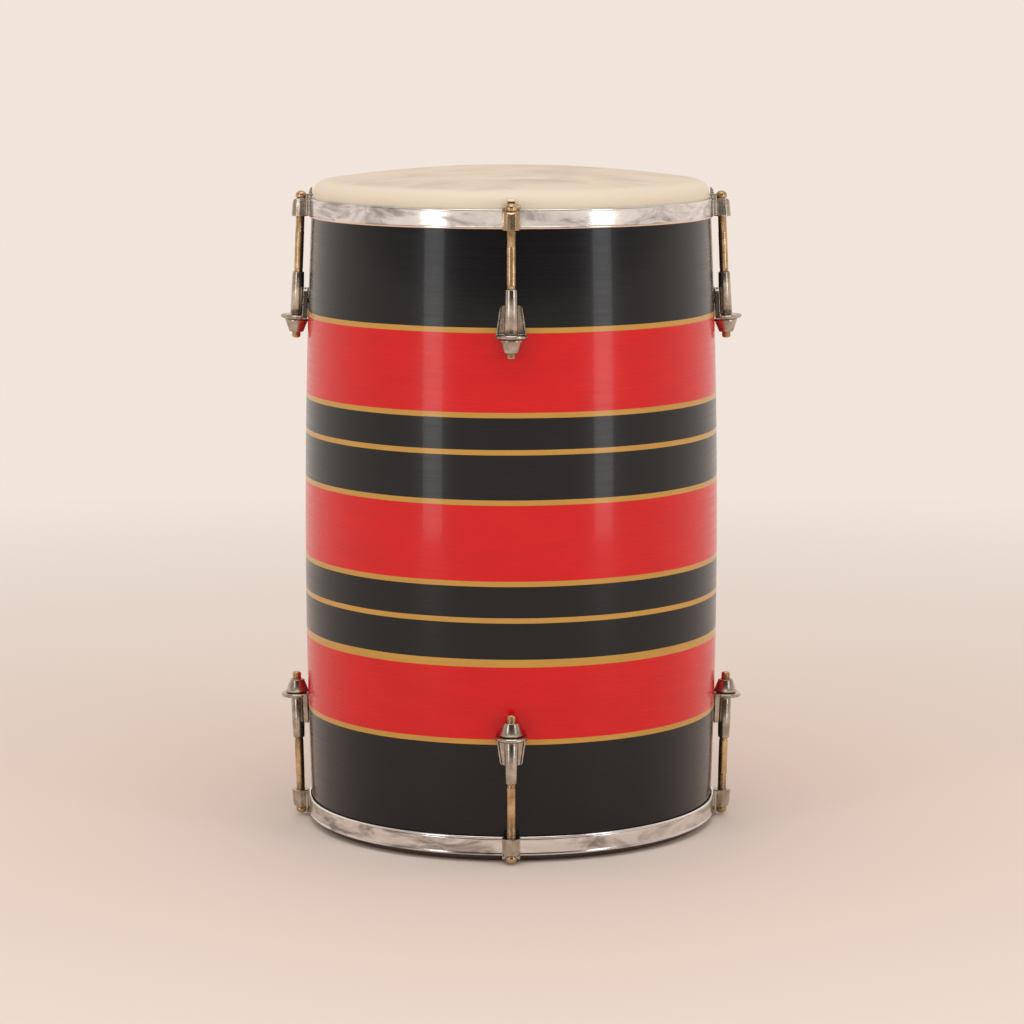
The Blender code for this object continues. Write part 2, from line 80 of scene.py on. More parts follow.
ENDS = {
    "top": {"up": 1, "face": HEIGHT, "crown": CROWN, "hoop": 0.0116, "rim": 0.1360, "shoulder": 0.0084},
    "bottom": {"up": -1, "face": 0.0, "crown": 0.0, "hoop": 0.0046, "rim": 0.1392, "shoulder": 0.0040},
}
NECK_HEIGHT = HEIGHT - ENDS["top"]["hoop"] - HOOP_HEIGHT


def wall_radius(z):
    """Outside radius of the shell: the belly radius less a square of the height from the belly."""
    share = (z - BELLY_HEIGHT) / (NECK_HEIGHT - BELLY_HEIGHT)
    return BELLY_RADIUS - (BELLY_RADIUS - NECK_RADIUS) * share**2


def skin_radius(end):
    """Outside radius of the skin's collar, counted in from the hoop's rim."""
    return end["rim"] - HOOP_THICKNESS - FLESH_THICKNESS - 2 * GAP


# %% [markdown]
# ## Turned surfaces
#
# Most of this drum is turned or rolled, so most pieces are surfaces of revolution. A Screw
# modifier would do, but an array makes it easy to add a thread or a ripple: the surface is a
# function of an angle and a step along the outline.

# %% A lathe in numpy
def grid_faces(rows, columns, closed):
    """Quads between neighbouring rows and columns, the columns wrapping round."""
    row = np.arange(rows if closed else rows - 1)[:, None]
    column = np.arange(columns)[None, :]
    below = (row + 1) % rows
    beside = (column + 1) % columns
    a = row * columns + column
    b = row * columns + beside
    c = below * columns + beside
    d = below * columns + column
    return np.stack([a, b, c, d], axis=-1).reshape(-1, 4)


def outward(outline):
    """The outline ordered so that its outer side runs down, found from its signed area."""
    x, z = outline[:, 0], outline[:, 1]
    doubled = np.sum(x * np.roll(z, -1) - np.roll(x, -1) * z)
    return outline[::-1] if doubled > 0 else outline


def lathe(name, outline, sides, place=None, closed=True, ripple=None):
    """Sweeps (radius, height) points round Z: x = r cos t, y = r sin t, z = height.

    ripple(angle, radius, height) gives a new radius for every point of the grid at once.
    """
    points = outward(np.asarray(outline, float))
    angle = np.linspace(0.0, 2 * math.pi, sides, endpoint=False)[None, :]
    radius = np.repeat(points[:, :1], sides, axis=1)
    height = np.repeat(points[:, 1:], sides, axis=1)
    if ripple is not None:
        radius = np.where(radius > 0, ripple(angle, radius, height), 0.0)
    grid = np.stack([radius * np.cos(angle), radius * np.sin(angle), height], axis=-1)
    faces = grid_faces(len(points), sides, closed)
    mesh = bpy.data.meshes.new(name)
    mesh.from_pydata(grid.reshape(-1, 3).tolist(), [], faces.tolist())
    form = bmesh.new()
    form.from_mesh(mesh)
    bmesh.ops.remove_doubles(form, verts=form.verts, dist=1e-7)
    bmesh.ops.recalc_face_normals(form, faces=form.faces)
    form.to_mesh(mesh)
    form.free()
    mesh.transform(place or Matrix.Identity(4))
    mesh.shade_smooth()
    mesh.set_sharp_from_angle(angle=math.radians(38))
    obj = bpy.data.objects.new(name, mesh)
    bpy.context.scene.collection.objects.link(obj)
    return obj


def arc(centre, radii, start, stop, steps):
    """Points on an ellipse between two angles in degrees."""
    t = np.radians(np.linspace(start, stop, steps + 1))
    return np.stack([centre[0] + radii[0] * np.cos(t), centre[1] + radii[1] * np.sin(t)], axis=1)


def from_face(end, outline):
    """Turns depths below a skin's face into heights."""
    points = np.array(outline, float)
    points[:, 1] = end["face"] - end["up"] * points[:, 1]
    return points


def settle(obj, body, node, material):
    """Puts a finished piece on its body, in place of its plain solid."""
    obj.data.materials.clear()
    obj.data.materials.append(material)
    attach(obj, body)
    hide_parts(node)
    print(f"{obj.name}: {len(obj.data.polygons)} faces, on {body}")


# %% [markdown]
# ## Node helpers
#
# Every finish here is a small network of procedural nodes on Object coordinates. Short helpers
# keep the networks readable.

# %% Node helpers
class Finish:
    """A material under construction, with one method for each kind of node that it uses."""

    def __init__(self, name):
        self.material = bpy.data.materials.new(name)
        self.material.use_nodes = True
        self.nodes = self.material.node_tree.nodes
        self.shader = self.nodes["Principled BSDF"]
        self.where = self.nodes.new("ShaderNodeTexCoord").outputs["Object"]

    def join(self, value, socket):
        """Links a node's output to the socket, or writes a plain number into it."""
        if isinstance(value, bpy.types.NodeSocket):
            self.material.node_tree.links.new(value, socket)
        else:
            socket.default_value = value

    def stretched(self, scale):
        """The drum's own coordinates, each axis times its scale."""
        node = self.nodes.new("ShaderNodeMapping")
        node.inputs["Scale"].default_value = scale
        self.join(self.where, node.inputs["Vector"])
        return node.outputs["Vector"]

    def noise(self, scale, detail=4.0, rough=0.55, stretch=None, distortion=0.0):
        """A cloudy pattern from 0 to 1, with about scale blobs to a metre."""
        node = self.nodes.new("ShaderNodeTexNoise")
        node.inputs["Scale"].default_value = scale
        node.inputs["Detail"].default_value = detail
        node.inputs["Roughness"].default_value = rough
        node.inputs["Distortion"].default_value = distortion
        self.join(self.stretched(stretch) if stretch else self.where, node.inputs["Vector"])
        return node.outputs["Fac"]

    def ramp(self, value, stops, constant=False):
        """Colours laid along 0 to 1 at their stops, blended or, if constant, in flat bands."""
        node = self.nodes.new("ShaderNodeValToRGB")
        node.color_ramp.interpolation = "CONSTANT" if constant else "LINEAR"
        elements = node.color_ramp.elements
        while len(elements) < len(stops):
            elements.new(1.0)
        for element, (place, colour) in zip(elements, stops):
            element.position = place
            element.color = (*colour, 1.0) if len(colour) == 3 else colour
        self.join(value, node.inputs["Fac"])
        return node.outputs["Color"]

    def math(self, operation, a, b=0.0):
        """One step of arithmetic on two values."""
        node = self.nodes.new("ShaderNodeMath")
        node.operation = operation
        self.join(a, node.inputs[0])
        self.join(b, node.inputs[1])
        return node.outputs[0]

    def span(self, value, low, high, to_low=0.0, to_high=1.0):
        """Carries low to to_low and high to to_high along a straight line, and no further."""
        node = self.nodes.new("ShaderNodeMapRange")
        self.join(value, node.inputs["Value"])
        limits = {"From Min": low, "From Max": high, "To Min": to_low, "To Max": to_high}
        for socket, number in limits.items():
            node.inputs[socket].default_value = number
        return node.outputs["Result"]

    def mix(self, factor, a, b, blend="MIX"):
        """Colour a carried towards colour b by the factor."""
        node = self.nodes.new("ShaderNodeMix")
        node.data_type = "RGBA"
        node.blend_type = blend
        self.join(factor, node.inputs["Factor"])
        colours = [socket for socket in node.inputs if socket.type == "RGBA"]
        for value, socket in zip((a, b), colours):
            self.join(value if isinstance(value, bpy.types.NodeSocket) else (*value, 1.0), socket)
        return [socket for socket in node.outputs if socket.type == "RGBA"][0]

    def split(self):
        """The three coordinates, one by one."""
        node = self.nodes.new("ShaderNodeSeparateXYZ")
        self.join(self.where, node.inputs[0])
        return node.outputs

    def radius(self):
        """Distance from the drum's axis."""
        x, y, _ = self.split()
        squares = self.math("ADD", self.math("MULTIPLY", x, x), self.math("MULTIPLY", y, y))
        return self.math("SQRT", squares)

    def bump(self, height, strength, distance):
        """Tilts the shading as relief of this height would, up to the distance in metres."""
        node = self.nodes.new("ShaderNodeBump")
        node.inputs["Strength"].default_value = strength
        node.inputs["Distance"].default_value = distance
        self.join(height, node.inputs["Height"])
        self.join(node.outputs["Normal"], self.shader.inputs["Normal"])

    def set(self, **values):
        """Sets or links the shader's own inputs, with _ for a space in their names."""
        for name, value in values.items():
            self.join(value, self.shader.inputs[name.replace("_", " ")])
        return self


# %% [markdown]
# ## Banded lacquer
#
# The shell is carved wood under thick gloss lacquer: black and red bands parted by eight thin
# gold lines, all brushed on while the drum turns. A constant colour ramp over the height gives
# the bands, a slow noise lets their edges wander as a hand-painted line does, and a stretched
# noise leaves the faint horizontal marks of the brush.

# %% Lacquer
GOLD_LINES = (0.3469, 0.2925, 0.2686, 0.2368, 0.1829, 0.1591, 0.1315, 0.0799)
GOLD_WIDTH = 0.0039
LINE_WANDER = 0.0008
BLACK = (0.0045, 0.0045, 0.0060)
RED = (0.740, 0.0040, 0.0060)
GOLD = (0.62, 0.34, 0.062)
BANDS = (BLACK, RED, BLACK, BLACK, RED, BLACK, BLACK, RED, BLACK)
BRUSH_STRETCH = (1.0, 1.0, 70.0)


def band_stops():
    """Stops from the foot up: each gold line, then the band that starts at its upper edge."""
    stops = [(0.0, BANDS[-1])]
    for line, over in reversed(list(zip(GOLD_LINES, BANDS))):
        stops.append(((line - GOLD_WIDTH / 2) / HEIGHT, GOLD))
        stops.append(((line + GOLD_WIDTH / 2) / HEIGHT, over))
    return stops


def lacquer():
    """The band at a height plus a slow noise, times a faint tint, under a thin clear coat."""
    finish = Finish("banded_lacquer")
    height = finish.split()[2]
    drift = finish.math("SUBTRACT", finish.noise(9.0, 3.0), 0.5)
    wander = finish.math("MULTIPLY", drift, LINE_WANDER)
    share = finish.math("DIVIDE", finish.math("ADD", height, wander), HEIGHT)
    bands = finish.ramp(share, band_stops(), constant=True)
    blotches = finish.noise(34.0, 5.0, stretch=(1.0, 1.0, 3.0))
    tint = finish.ramp(blotches, [(0.3, (0.90, 0.90, 0.90)), (0.7, (1.0, 1.0, 1.0))])
    finish.set(Base_Color=finish.mix(1.0, bands, tint, "MULTIPLY"))
    brush = finish.noise(6.0, 6.0, 0.65, stretch=BRUSH_STRETCH)
    strokes = finish.math("MULTIPLY", brush, 0.8)
    orange_peel = finish.math("MULTIPLY", finish.noise(190.0, 2.0), 0.25)
    finish.bump(finish.math("ADD", strokes, orange_peel), 0.10, 0.0006)
    finish.set(Roughness=finish.span(brush, 0.3, 0.7, 0.20, 0.32))
    finish.set(Coat_Weight=0.30, Coat_Roughness=0.07, IOR=1.33)
    return finish.material


def bare_wood():
    """Brown between two tones of a noise that is drawn out along the grain."""
    finish = Finish("bare_wood")
    grain = finish.noise(30.0, 8.0, 0.6, stretch=(1.0, 1.0, 0.12), distortion=0.6)
    finish.set(Base_Color=finish.ramp(grain, [(0.25, (0.20, 0.10, 0.045)), (0.75, (0.42, 0.25, 0.12))]))
    finish.set(Roughness=finish.span(grain, 0.0, 1.0, 0.55, 0.80))
    finish.bump(grain, 0.35, 0.0008)
    return finish.material


LACQUER = lacquer()
BARE_WOOD = bare_wood()
print("bands:", len(BANDS), "gold lines:", len(GOLD_LINES))


# %% [markdown]
# ## The shell
#
# One closed wall: barrel outside, rebate and spigot where the hoop runs, rounded bearing edge
# under the skin, and a plain bored inside. The inside is left as bare wood.

# %% Shell
SHELL_SIDES = 240
OUTSIDE_STEPS = 66
BORE_STEPS = 12
BORE_DROP = 0.0030
LACQUER_DEPTH = 0.0012


def bearing_edge(end, steps=10):
    """In from the wall to the spigot, up it, over a quarter ellipse, and in to the bore."""
    foot = end["hoop"] + HOOP_HEIGHT - REBATE
    crest = SKIN_THICKNESS + GAP
    wall = wall_radius(end["face"] - end["up"] * foot)
    spigot = skin_radius(end) - SKIN_THICKNESS - GAP
    centre = (skin_radius(end) - SHOULDER_WIDTH, end["shoulder"])
    rounding = arc(centre, (SHOULDER_WIDTH - crest, crest - end["shoulder"]), 0, 90, steps)
    points = [(wall, foot), (spigot, foot), *rounding.tolist(), (wall - WALL, crest + BORE_DROP)]
    return from_face(end, points)


def make_shell():
    """Both edges joined by the parabola outside and the same one, a wall's thickness in, inside."""
    top, bottom = bearing_edge(ENDS["top"]), bearing_edge(ENDS["bottom"])
    z_out = np.linspace(top[0, 1], bottom[0, 1], OUTSIDE_STEPS)[1:-1]
    outside = np.stack([wall_radius(z_out), z_out], axis=1)
    z_in = np.linspace(bottom[0, 1], top[0, 1], BORE_STEPS)[1:-1]
    inside = np.stack([wall_radius(z_in) - WALL, z_in], axis=1)
    outline = np.concatenate([top[::-1], outside, bottom, inside])
    shell = lathe("lacquered_shell", outline, SHELL_SIDES)
    settle(shell, "shell_body", "shell", LACQUER)
    shell.data.materials.append(BARE_WOOD)
    centres = np.empty(len(shell.data.polygons) * 3)
    shell.data.polygons.foreach_get("center", centres)
    centres = centres.reshape(-1, 3)
    inner = np.hypot(centres[:, 0], centres[:, 1]) < wall_radius(centres[:, 2]) - LACQUER_DEPTH
    shell.data.polygons.foreach_set("material_index", inner.astype(np.int32))
    print("bare wood faces:", int(inner.sum()), "of", len(centres))


make_shell()


# %% [markdown]
# ## The skins
#
# Goat hide, scraped and stretched wet. The upper skin is crowned across the opening and the
# lower one is flat. Both roll down over the bearing edge and go in under the hoop. The colour is
# cream with faint grey-brown clouds and fine streaks. The upper skin's rolled edge is painted
# paler: a painted highlight on the shoulder. The lower one stands on the floor, and its rolled
# edge is painted dark brown: a painted shadow under the hoop.

# %% Skins
SKIN_SIDES = 180
FACE_STEPS = 24
ROLL_FROM = 0.119
ROLL_TO = 0.129


def hide(name, light, dark, edge):
    """Clouds from dark to light, times faint veins, carried to the edge colour by radius."""
    finish = Finish(name)
    clouds = finish.noise(14.0, 6.0, 0.60, stretch=(1.0, 1.6, 1.0), distortion=0.5)
    veins = finish.noise(60.0, 8.0, 0.70, stretch=(0.35, 1.5, 1.0), distortion=1.2)
    colour = finish.ramp(clouds, [(0.34, dark), (0.56, light)])
    faint = finish.ramp(veins, [(0.36, (0.90, 0.87, 0.83)), (0.58, (1.0, 1.0, 1.0))])
    colour = finish.mix(0.55, colour, faint, "MULTIPLY")
    # Painted light: the rolled edge takes the edge colour, a painted highlight on the upper skin and a
    # painted shadow on the lower.
    colour = finish.mix(finish.span(finish.radius(), ROLL_FROM, ROLL_TO), colour, edge)
    pores = finish.noise(900.0, 3.0)
    vein_relief = finish.math("MULTIPLY", veins, 0.7)
    pore_relief = finish.math("MULTIPLY", pores, 0.3)
    finish.bump(finish.math("ADD", vein_relief, pore_relief), 0.18, 0.0005)
    finish.set(Base_Color=colour, Roughness=finish.span(clouds, 0.3, 0.7, 0.42, 0.58))
    finish.set(Subsurface_Weight=0.08, Subsurface_Scale=0.002, Specular_IOR_Level=0.4)
    return finish.material


# The upper edge colour is a painted highlight, the lower edge colour a painted shadow.
UPPER_HIDE = hide("upper_hide", (0.80, 0.70, 0.56), (0.60, 0.52, 0.42), (0.84, 0.75, 0.60))
LOWER_HIDE = hide("lower_hide", (0.66, 0.54, 0.38), (0.50, 0.40, 0.27), (0.075, 0.042, 0.028))


def make_skin(label, material):
    """A crown that falls with the square of the radius, then a quarter ellipse and a collar."""
    end = ENDS[label]
    outer = skin_radius(end)
    centre = (outer - SHOULDER_WIDTH, end["shoulder"])
    collar = end["hoop"] + HOOP_HEIGHT - REBATE - GAP
    over = arc(centre, (SHOULDER_WIDTH, -end["shoulder"]), 90, 0, 20)
    radii = (SHOULDER_WIDTH - SKIN_THICKNESS, SKIN_THICKNESS - end["shoulder"])
    under = arc(centre, radii, 0, 90, 14)
    reach = np.linspace(0.0, centre[0], FACE_STEPS)[:-1]
    rise = -end["crown"] * (1.0 - (reach / centre[0]) ** 2)
    face = np.stack([reach, rise], axis=1)
    back = np.stack([reach, rise + SKIN_THICKNESS], axis=1)[::-1]
    rim = [(outer, collar), (outer - SKIN_THICKNESS, collar)]
    outline = from_face(end, np.concatenate([face, over, rim, under, back]))
    skin = lathe(label + "_hide", outline, SKIN_SIDES, closed=False)
    settle(skin, "shell_body", label + "_skin", material)


make_skin("top", UPPER_HIDE)
make_skin("bottom", LOWER_HIDE)


# %% [markdown]
# ## Plated metal
#
# Old plating isn't one colour: it goes warm and cloudy and it is scuffed, and its corners are
# darkened with painted shade. Two noises break up the reflection, and a rise in roughness with a
# darker tint follows the slow one.

# %% Metals
SMALL_PATCHES = 120.0
WIDE_PATCHES = 40.0
GRAIN_PER_PATCH = 14
# Painted shade: the dark brown that hollows of the plated pieces are carried towards.
CREASE_SHADE = (0.10, 0.07, 0.05)
CREASE_SHADE_COVER = 0.85
HOOP_CLOUDS = ((0.36, (0.34, 0.31, 0.30)), (0.52, (0.80, 0.77, 0.74)), (0.7, (0.93, 0.91, 0.89)))
BEAD_TINT = {"top": (0.92, 0.66, 0.52), "bottom": (0.95, 0.93, 0.90)}


def scuffed_metal(name, smooth, scuffed, scale):
    """Metal whose roughness goes from scuffed to smooth with a slow noise, under a fine grain."""
    finish = Finish(name)
    slow = finish.noise(scale, 4.0, 0.6)
    fine = finish.noise(scale * GRAIN_PER_PATCH, 3.0, 0.7)
    finish.set(Metallic=1.0, Roughness=finish.span(slow, 0.3, 0.7, scuffed, smooth))
    finish.bump(fine, 0.12, 0.0001)
    return finish, slow


def plated(name, bright, dull, smooth, scuffed, creases=True):
    """Dull to bright by the slow noise, and darker in hollows: painted shade."""
    finish, slow = scuffed_metal(name, smooth, scuffed, SMALL_PATCHES)
    colour = finish.ramp(slow, [(0.35, dull), (0.65, bright)])
    if creases:
        # Painted shade: hollows, found by pointiness, are darkened.
        pointiness = finish.nodes.new("ShaderNodeNewGeometry").outputs["Pointiness"]
        hollow = finish.ramp(pointiness, [(0.40, (1.0, 1.0, 1.0)), (0.49, (0.0, 0.0, 0.0))])
        colour = finish.mix(finish.math("MULTIPLY", hollow, CREASE_SHADE_COVER), colour, CREASE_SHADE)
    finish.set(Base_Color=colour)
    return finish.material


def hoop_plating(label):
    """Cloudy bright plating. The bead by the shell is coppery on the upper hoop."""
    end = ENDS[label]
    finish, _ = scuffed_metal(label + "_hoop_plating", 0.10, 0.24, WIDE_PATCHES)
    clouds = finish.noise(26.0, 5.0, 0.65, stretch=(1.0, 1.0, 3.5), distortion=0.8)
    colour = finish.ramp(clouds, HOOP_CLOUDS)
    foot = end["face"] - end["up"] * (end["hoop"] + HOOP_HEIGHT)
    above_foot = finish.math("SUBTRACT", finish.split()[2], foot)
    depth = finish.math("MULTIPLY", above_foot, float(end["up"]))
    bead = finish.span(depth, 0.0016, 0.0006)
    finish.set(Base_Color=finish.mix(bead, colour, BEAD_TINT[label]))
    return finish.material


NICKEL = plated("aged_nickel", (0.60, 0.54, 0.46), (0.36, 0.30, 0.24), 0.16, 0.34)
GOLDEN_NICKEL = plated("golden_nickel", (0.66, 0.50, 0.32), (0.42, 0.28, 0.16), 0.16, 0.34)
BRASS = plated("worn_brass", (0.70, 0.50, 0.29), (0.42, 0.28, 0.15), 0.18, 0.34)
STEEL_TONES = ((0.46, 0.44, 0.42), (0.30, 0.28, 0.26))
PLAIN_STEEL = plated("plain_steel", *STEEL_TONES, 0.32, 0.5, creases=False)
print("finishes:", sorted(material.name for material in bpy.data.materials))


# %% [markdown]
# ## Hoops
#
# A hoop is a strip of steel rolled into a ring and plated. Its outer edge is rolled in, to
# press on the flesh ring, and both edges are beaded so that they don't cut the hand.

# %% Hoops and flesh rings
HOOP_SIDES = 240
RING_SIDES = 180
RING_EASE = 0.0003
FOOT_BEAD = (0.0008, 0.0009)
FLAT_BY_EDGE_BEAD = 0.0003
FLAT_BY_FOOT_BEAD = 0.0002


def make_hoop(label):
    """A flat band, with a lip rolled in over the flesh ring and a bead round each edge."""
    end = ENDS[label]
    rim, edge = end["rim"], end["hoop"]
    band = rim - BEAD_PROUD
    lip = skin_radius(end) + BEAD_CLEARANCE
    foot = edge + HOOP_HEIGHT
    half = BEAD_HEIGHT / 2
    inside = rim - HOOP_THICKNESS
    points = arc((lip + half, edge + half), (-half, -half), 0, 90, 8).tolist()
    points += arc((rim - half, edge + half), (half, -half), 90, -40, 10).tolist()
    edge_bead, foot_bead = edge + BEAD_HEIGHT, foot - BEAD_HEIGHT
    points += [(band, edge_bead), (band, edge_bead + FLAT_BY_EDGE_BEAD)]
    points += [(band, foot_bead - FLAT_BY_FOOT_BEAD), (band, foot_bead)]
    points += arc((rim - FOOT_BEAD[0], foot - FOOT_BEAD[1]), FOOT_BEAD, -60, 90, 10).tolist()
    points += [(inside, foot), (inside, edge + BEAD_HEIGHT), (lip, edge + BEAD_HEIGHT)]
    hoop = lathe(label + "_band_hoop", from_face(end, points), HOOP_SIDES)
    settle(hoop, label + "_head", label + "_hoop", hoop_plating(label))


def make_flesh_ring(label):
    """A flat strip on edge, its four corners cut by the ease."""
    end = ENDS[label]
    outer = end["rim"] - HOOP_THICKNESS - GAP
    inner = outer - FLESH_THICKNESS
    top = end["hoop"] + BEAD_HEIGHT + GAP
    foot = top + FLESH_HEIGHT
    ease = RING_EASE
    points = [(inner, top + ease), (inner + ease, top), (outer - ease, top), (outer, top + ease)]
    points += [(outer, foot - ease), (outer - ease, foot), (inner + ease, foot), (inner, foot - ease)]
    ring = lathe(label + "_lapping_ring", from_face(end, points), RING_SIDES)
    settle(ring, label + "_head", label + "_flesh_ring", PLAIN_STEEL)


for label in ENDS:
    make_hoop(label)
    make_flesh_ring(label)


# %% [markdown]
# ## Rods, sleeves and nuts
#
# Each rod is a quarter-inch bolt with a domed head, finely threaded at both ends. The thread
# is real relief: the radius falls and rises with height less a share of the angle, which is a
# helix. Each rod's line comes from the joint of the nut that turns on it.

# %% Lug hardware
ROD_RADIUS = 0.0030
ROD_LENGTH = 0.0995
HEAD_RADIUS = 0.0037
HEAD_HEIGHT = 0.0047
HEAD_CHAMFER = (0.0003, 0.0004)
DOME_HEIGHT = 0.0030
TIP_HEIGHT = 0.0015
ROD_SIDES = 24
CLAW_HEIGHT = 0.0120
CLAW_OVERHANG = {"top": 0.0001, "bottom": 0.0007}
LEDGE_DEPTH = {"top": 0.0934, "bottom": 0.0860}
LEDGE_THICKNESS = 0.0026
ROD_CLEARANCE = 0.0004
SLEEVE_LENGTH = 0.0285
SLEEVE_FOOT_RADIUS = 0.0045
SLEEVE_TIP_RADIUS = 0.0039
SLEEVE_TIP_EASE = 0.00025
SLEEVE_SIDES = 40
NUT_HEIGHT = 0.0088
NUT_FOOT_RADIUS = 0.0077
NUT_TIP_RADIUS = 0.0050
NUT_EASE = 0.0007
NUT_SIDES = 48
THREAD_PITCH = 0.0008
THREAD_DEPTH = 0.00022
STEPS_PER_PITCH = 6
PLAIN_FROM = 0.0340
THREAD_BELOW_CLAW = 0.0110


def rod_frame(joint):
    """Z along the rod towards the head, X away from the drum, z = 0 on the ledge's nut side."""
    origin = Vector(joint["pos_m"])
    along = Vector(joint["axis"]).normalized()
    out = Vector((origin.x, origin.y, 0.0)).normalized()
    out = (out - along * out.dot(along)).normalized()
    side = along.cross(out)
    turn = Matrix((out, side, along)).transposed().to_4x4()
    return Matrix.Translation(origin) @ turn


def claw_seat(label, joint):
    """Where the claw's outer face is, along the rod."""
    end = ENDS[label]
    upright = LEDGE_DEPTH[label] - (end["hoop"] + HOOP_HEIGHT + CLAW_OVERHANG[label]) + CLAW_HEIGHT
    return upright / abs(Vector(joint["axis"]).normalized().z)


def make_rod(label, number, joint):
    """A domed head, a shaft that is threaded at both ends, and a rounded tip."""
    seat = claw_seat(label, joint) + GAP
    top = seat + HEAD_HEIGHT
    tip = top - ROD_LENGTH
    dome = arc((0.0, top - DOME_HEIGHT), (HEAD_RADIUS, DOME_HEIGHT), 90, 0, 12).tolist()
    dome[0][0] = 0.0
    shaft = np.arange(seat - 0.0001, tip + TIP_HEIGHT + 0.0001, -THREAD_PITCH / STEPS_PER_PITCH)
    cut_in, cut_up = HEAD_CHAMFER
    points = dome + [(HEAD_RADIUS, seat + cut_up), (HEAD_RADIUS - cut_in, seat)]
    points += [(ROD_RADIUS, seat)] + [(ROD_RADIUS, z) for z in shaft]
    points += arc((0.0, tip + TIP_HEIGHT), (ROD_RADIUS, -TIP_HEIGHT), 0, 90, 8).tolist()
    points[-1] = (0.0, points[-1][1])
    plain_to = seat - CLAW_HEIGHT - THREAD_BELOW_CLAW

    def thread(angle, radius, height):
        """Falls towards the core by a raised cosine of the helix phase, on the threaded lengths."""
        phase = 2 * math.pi * height / THREAD_PITCH - angle
        cut = THREAD_DEPTH * (0.5 - 0.5 * np.cos(phase))
        threaded = (height < PLAIN_FROM) | (height > plain_to)
        on_shaft = (radius > ROD_RADIUS - 1e-6) & (radius < ROD_RADIUS + 1e-6)
        return np.where(threaded & on_shaft & (height < seat - 0.0002), radius - cut, radius)

    where = rod_frame(joint)
    rod = lathe(f"{label}_rod_{number}", points, ROD_SIDES, where, closed=False, ripple=thread)
    settle(rod, label + "_head", f"{label}_tension_rod_{number}", BRASS)


def make_sleeve(label, number, joint):
    """A bored cone, widest at its foot on the ledge, with a short straight collar at its tip."""
    foot = LEDGE_THICKNESS + GAP
    tip = foot + SLEEVE_LENGTH
    bore = ROD_RADIUS + ROD_CLEARANCE
    ease = SLEEVE_TIP_EASE
    points = [(bore, tip), (SLEEVE_TIP_RADIUS - ease, tip)]
    points += arc((SLEEVE_TIP_RADIUS - ease, tip - ease), (ease, ease), 75, 0, 4).tolist()
    points += [(SLEEVE_TIP_RADIUS, tip - 0.0012), (SLEEVE_TIP_RADIUS + 0.00008, tip - 0.0016)]
    points += [(SLEEVE_FOOT_RADIUS, foot + 0.0004), (SLEEVE_FOOT_RADIUS - 0.0003, foot), (bore, foot)]
    sleeve = lathe(f"{label}_ferrule_{number}", points, SLEEVE_SIDES, rod_frame(joint))
    settle(sleeve, "shell_body", f"{label}_sleeve_{number}", NICKEL)


def make_nut(label, number, joint):
    """A bored cone with rounded edges, its wide end against the ledge."""
    foot = -GAP
    tip = foot - NUT_HEIGHT
    bore = ROD_RADIUS + ROD_CLEARANCE
    ease = NUT_EASE
    points = [(bore, foot)]
    points += arc((NUT_FOOT_RADIUS - ease, foot - ease), (ease, ease), 90, 0, 6).tolist()
    points += [(NUT_FOOT_RADIUS, foot - 2 * ease), (NUT_FOOT_RADIUS - 0.0003, foot - 2.4 * ease)]
    points += arc((NUT_TIP_RADIUS - ease, tip + ease), (ease, -ease), 0, 90, 6).tolist()
    points += [(bore + 0.0003, tip), (bore, tip + 0.0003)]
    nut = lathe(f"{label}_cone_nut_{number}", points, NUT_SIDES, rod_frame(joint))
    settle(nut, f"{label}_nut_{number}", f"{label}_tuning_nut_{number}", NICKEL)


# %% [markdown]
# ## Claws and brackets
#
# These are cast and pressed pieces with soft corners everywhere. Their solids already have the
# right form with hard edges, so each is copied, rebuilt as an even skin of small faces, and
# relaxed a little: the corners round over as they do on a casting, and nothing else moves.

# %% Cast and pressed pieces
CLAW_VOXEL = 0.00024
CLAW_PASSES = 5
BRACKET_VOXEL = 0.00026
BRACKET_PASSES = 3


def softened(node, name, voxel, passes):
    """A copy of a solid with its doubles merged, its faces evened out and its corners eased."""
    mesh = frame["nodes"][node].data.copy()
    mesh.name = name
    form = bmesh.new()
    form.from_mesh(mesh)
    bmesh.ops.remove_doubles(form, verts=form.verts, dist=1e-6)
    form.to_mesh(mesh)
    form.free()
    obj = bpy.data.objects.new(name, mesh)
    bpy.context.scene.collection.objects.link(obj)
    remesh = obj.modifiers.new("Even", "REMESH")
    remesh.mode = "VOXEL"
    remesh.voxel_size = voxel
    relax = obj.modifiers.new("Relax", "SMOOTH")
    relax.factor = 0.5
    relax.iterations = passes
    bpy.context.view_layer.update()
    evaluated = obj.evaluated_get(bpy.context.evaluated_depsgraph_get())
    settled = bpy.data.meshes.new_from_object(evaluated)
    obj.modifiers.clear()
    obj.data = settled
    settled.shade_smooth()
    return obj


def make_claw(label, number):
    """The claw's solid, eased. The upper one in front has the most brass showing through."""
    node = f"{label}_claw_{number}"
    claw = softened(node, f"{label}_cast_claw_{number}", CLAW_VOXEL, CLAW_PASSES)
    golden = label == "top" and number == 1
    settle(claw, label + "_head", node, GOLDEN_NICKEL if golden else NICKEL)


def make_bracket(label, number):
    """The bracket's solid, eased less than the claw's, as pressed plate keeps its edges."""
    node = f"{label}_bracket_{number}"
    name = f"{label}_pressed_bracket_{number}"
    bracket = softened(node, name, BRACKET_VOXEL, BRACKET_PASSES)
    settle(bracket, "shell_body", node, NICKEL)


LUGS_PER_HEAD = 4
for label in ENDS:
    for number in range(1, LUGS_PER_HEAD + 1):
        joint = joints[f"{label}_nut_{number}_turn"]
        make_rod(label, number, joint)
        make_sleeve(label, number, joint)
        make_nut(label, number, joint)
        make_claw(label, number)
        make_bracket(label, number)
        screw = frame["nodes"][f"{label}_bracket_screw_{number}"]
        screw.data.materials.clear()
        screw.data.materials.append(PLAIN_STEEL)

